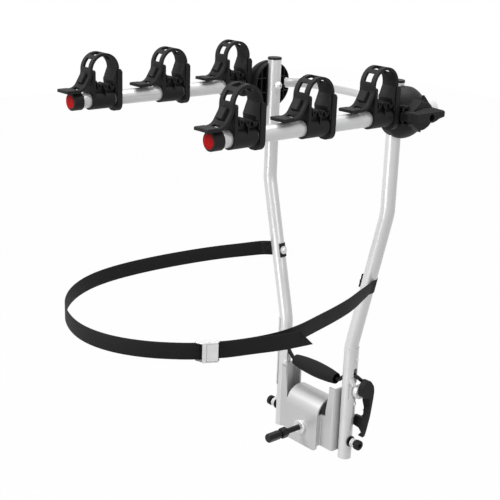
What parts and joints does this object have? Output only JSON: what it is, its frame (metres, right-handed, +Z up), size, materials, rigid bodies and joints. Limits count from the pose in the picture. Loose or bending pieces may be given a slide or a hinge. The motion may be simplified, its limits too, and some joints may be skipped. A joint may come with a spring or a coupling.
{
  "type": "hitch bike rack",
  "caption": "Tow-ball bike rack: bent tube mast on a tilting saddle bracket, folding arms with padded strap cradles, carry handle and tie strap with buckle.",
  "frame": {"origin": "centre of the tow ball, which is level with the axis that the mast tilts about", "axes": "+Z up along the mast, -Y along the arms away from the car, +X to the side with the lock lever and the latch"},
  "size_m": [0.4973, 0.7101, 0.8345],
  "materials": {
    "silver_coat": "satin silver-grey powder coat",
    "plated_steel": "zinc plated",
    "black_steel": "black coat",
    "cast_cup": "dark, as cast",
    "black_plastic": "fine grained glass-filled nylon",
    "black_rubber": "matt black rubber",
    "foam": "closed-cell foam",
    "webbing": "black woven webbing",
    "red_plastic": "red reflector"
  },
  "bodies": {
    "bracket": {"saddle_bracket": "silver_coat", "ball_cup": "cast_cup", "clamp_nut": "plated_steel", "pivot_bolts": "black_steel", "pivot_bolt_caps": "black_plastic", "pivot_springs": "plated_steel"},
    "mast": {"left_upright": "silver_coat", "right_upright": "silver_coat", "left_top_cap": "black_plastic", "right_top_cap": "black_plastic", "left_side_plate": "silver_coat", "right_side_plate": "silver_coat", "plate_rivets": "plated_steel", "plate_screws": "plated_steel", "rod_guide": "silver_coat", "guide_bolt": "plated_steel", "latch_drum": "plated_steel", "hub_bolts": "plated_steel", "hub_nuts": "plated_steel", "hub_backings": "black_plastic", "left_web_end": "webbing", "right_web_end": "webbing", "webbing_bolts": "plated_steel"},
    "handle": {"handle_rod": "black_steel", "foam_grip": "foam"},
    "latch": {"latch_lever": "black_plastic"},
    "arms": {"arm_tube": "silver_coat", "left_hub_housing": "black_plastic", "right_hub_housing": "black_plastic", "left_end_cap": "black_plastic", "right_end_cap": "black_plastic", "left_reflector": "red_plastic", "right_reflector": "red_plastic", "lever_pin": "plated_steel"},
    "fold_lock": {"lock_lever": "black_plastic"},
    "strap_loop": {"long_webbing": "webbing", "short_webbing": "webbing", "buckle_frame": "plated_steel", "buckle_pin": "plated_steel"},
    "buckle_cam": {"buckle_lever": "plated_steel"},
    "jaw": {"clamp_jaw": "plated_steel"},
    "screw": {"clamp_screw": "black_steel"},
    "left_cradle_1": {"left_cradle_body_1": "black_plastic", "left_cradle_pad_1": "black_rubber"},
    "left_strap_1": {"left_cradle_strap_1": "black_rubber"},
    "left_cradle_2": {"left_cradle_body_2": "black_plastic", "left_cradle_pad_2": "black_rubber"},
    "left_strap_2": {"left_cradle_strap_2": "black_rubber"},
    "left_cradle_3": {"left_cradle_body_3": "black_plastic", "left_cradle_pad_3": "black_rubber"},
    "left_strap_3": {"left_cradle_strap_3": "black_rubber"},
    "right_cradle_1": {"right_cradle_body_1": "black_plastic", "right_cradle_pad_1": "black_rubber"},
    "right_strap_1": {"right_cradle_strap_1": "black_rubber"},
    "right_cradle_2": {"right_cradle_body_2": "black_plastic", "right_cradle_pad_2": "black_rubber"},
    "right_strap_2": {"right_cradle_strap_2": "black_rubber"},
    "right_cradle_3": {"right_cradle_body_3": "black_plastic", "right_cradle_pad_3": "black_rubber"},
    "right_strap_3": {"right_cradle_strap_3": "black_rubber"}
  },
  "joints": [
    {"name": "mast_tilt", "type": "hinge", "parent": "bracket", "child": "mast", "pos_m": [0, 0, 0], "axis": [1, 0, 0], "range_deg": [0, 40]},
    {"name": "handle_lift", "type": "slide", "parent": "mast", "child": "handle", "axis": [0, 0, 1], "range_m": [0, 0.012]},
    {"name": "latch_swing", "type": "hinge", "parent": "mast", "child": "latch", "pos_m": [0.1294, 0.01, 0.112], "axis": [1, 0, 0], "range_deg": [0, 35]},
    {"name": "arms_fold", "type": "hinge", "parent": "mast", "child": "arms", "pos_m": [0, 0, 0.702], "axis": [1, 0, 0], "range_deg": [0, 80]},
    {"name": "fold_lock_swing", "type": "hinge", "parent": "arms", "child": "fold_lock", "pos_m": [0.2235, -0.0408, 0.702], "axis": [0, 0, -1], "range_deg": [0, 45]},
    {"name": "strap_swing", "type": "hinge", "parent": "mast", "child": "strap_loop", "pos_m": [0, 0, 0.353], "axis": [1, 0, 0], "range_deg": [0, 80]},
    {"name": "buckle_open", "type": "hinge", "parent": "strap_loop", "child": "buckle_cam", "pos_m": [0.2156, -0.4699, 0.353], "axis": [0, 0, -1], "range_deg": [0, 60]},
    {"name": "jaw_travel", "type": "slide", "parent": "bracket", "child": "jaw", "axis": [0, -1, 0], "range_m": [0, 0.004]},
    {"name": "clamp_screw_turn", "type": "hinge", "parent": "jaw", "child": "screw", "pos_m": [0, -0.09, 0], "axis": [0, -1, 0], "range_deg": [0, 720]},
    {"name": "left_cradle_1_turn", "type": "hinge", "parent": "arms", "child": "left_cradle_1", "pos_m": [-0.202, -0.407, 0.702], "axis": [0, 1, 0], "range_deg": [-12, 12]},
    {"name": "left_strap_1_open", "type": "hinge", "parent": "left_cradle_1", "child": "left_strap_1", "pos_m": [-0.202, -0.372, 0.752], "axis": [-1, 0, 0], "range_deg": [0, 60]},
    {"name": "left_cradle_2_turn", "type": "hinge", "parent": "arms", "child": "left_cradle_2", "pos_m": [-0.202, -0.248, 0.702], "axis": [0, 1, 0], "range_deg": [-12, 12]},
    {"name": "left_strap_2_open", "type": "hinge", "parent": "left_cradle_2", "child": "left_strap_2", "pos_m": [-0.202, -0.213, 0.752], "axis": [-1, 0, 0], "range_deg": [0, 60]},
    {"name": "left_cradle_3_turn", "type": "hinge", "parent": "arms", "child": "left_cradle_3", "pos_m": [-0.202, -0.089, 0.702], "axis": [0, 1, 0], "range_deg": [-12, 12]},
    {"name": "left_strap_3_open", "type": "hinge", "parent": "left_cradle_3", "child": "left_strap_3", "pos_m": [-0.202, -0.054, 0.752], "axis": [-1, 0, 0], "range_deg": [0, 60]},
    {"name": "right_cradle_1_turn", "type": "hinge", "parent": "arms", "child": "right_cradle_1", "pos_m": [0.202, -0.407, 0.702], "axis": [0, 1, 0], "range_deg": [-12, 12]},
    {"name": "right_strap_1_open", "type": "hinge", "parent": "right_cradle_1", "child": "right_strap_1", "pos_m": [0.202, -0.372, 0.752], "axis": [-1, 0, 0], "range_deg": [0, 60]},
    {"name": "right_cradle_2_turn", "type": "hinge", "parent": "arms", "child": "right_cradle_2", "pos_m": [0.202, -0.248, 0.702], "axis": [0, 1, 0], "range_deg": [-12, 12]},
    {"name": "right_strap_2_open", "type": "hinge", "parent": "right_cradle_2", "child": "right_strap_2", "pos_m": [0.202, -0.213, 0.752], "axis": [-1, 0, 0], "range_deg": [0, 60]},
    {"name": "right_cradle_3_turn", "type": "hinge", "parent": "arms", "child": "right_cradle_3", "pos_m": [0.202, -0.089, 0.702], "axis": [0, 1, 0], "range_deg": [-12, 12]},
    {"name": "right_strap_3_open", "type": "hinge", "parent": "right_cradle_3", "child": "right_strap_3", "pos_m": [0.202, -0.054, 0.752], "axis": [-1, 0, 0], "range_deg": [0, 60]}
  ],
  "couplings": [
    {"joint": "strap_swing", "follows": "arms_fold", "ratio": 1},
    {"joint": "clamp_screw_turn", "follows": "jaw_travel", "rad_per_m": 3141.5}
  ]
}
